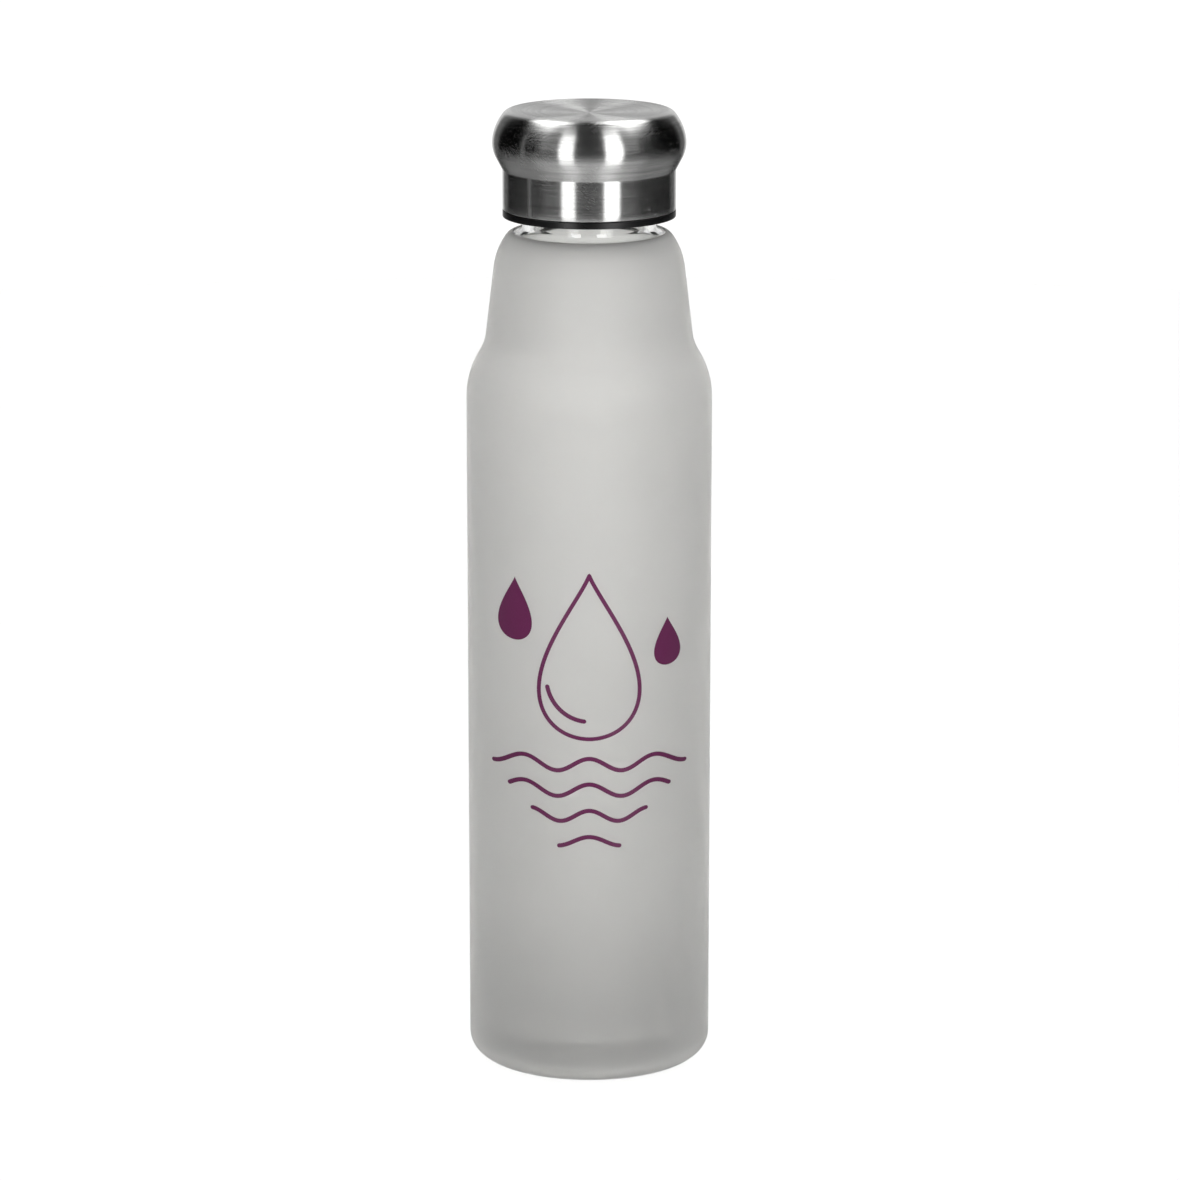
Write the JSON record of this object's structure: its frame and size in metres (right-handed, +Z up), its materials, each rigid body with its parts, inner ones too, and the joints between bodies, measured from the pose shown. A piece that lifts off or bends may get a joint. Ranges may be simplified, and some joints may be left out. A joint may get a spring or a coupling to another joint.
{
  "type": "glass water bottle",
  "caption": "Slim frosted glass water bottle with a stepped shoulder, a clear threaded neck, a printed drop emblem and a flared brushed steel screw cap with a black liner.",
  "frame": {"origin": "centre of the base, on the plane the bottle stands on", "axes": "+Z up along the bottle's axis, -Y towards the printed emblem, +X to the right of the emblem's reader"},
  "size_m": [0.065, 0.065, 0.2576],
  "materials": {
    "clear_glass": "clear",
    "frosting": "frosted",
    "plum_ink": "printed ink",
    "silicone": "translucent matt",
    "brushed_steel": "brushed round the axis",
    "black_plastic": "fine satin",
    "adhesive": "cured"
  },
  "bodies": {
    "bottle": {"glass_bottle": "clear_glass", "frosted_coat": "frosting", "printed_emblem": "plum_ink"},
    "seal": {"seal_ring": "silicone"},
    "cap": {"cap_shell": "brushed_steel", "cap_liner": "black_plastic", "shell_bond": "adhesive"}
  },
  "joints": [
    {"name": "cap_lift", "type": "slide", "parent": "bottle", "child": "seal", "axis": [0, 0, 1], "range_m": [0, 0.02521]},
    {"name": "cap_turn", "type": "hinge", "parent": "seal", "child": "cap", "pos_m": [0, 0, 0.2355], "axis": [0, 0, 1], "range_deg": [0, 2160]}
  ],
  "couplings": [
    {"joint": "cap_lift", "follows": "cap_turn", "m_per_rad": 0.00066845}
  ]
}
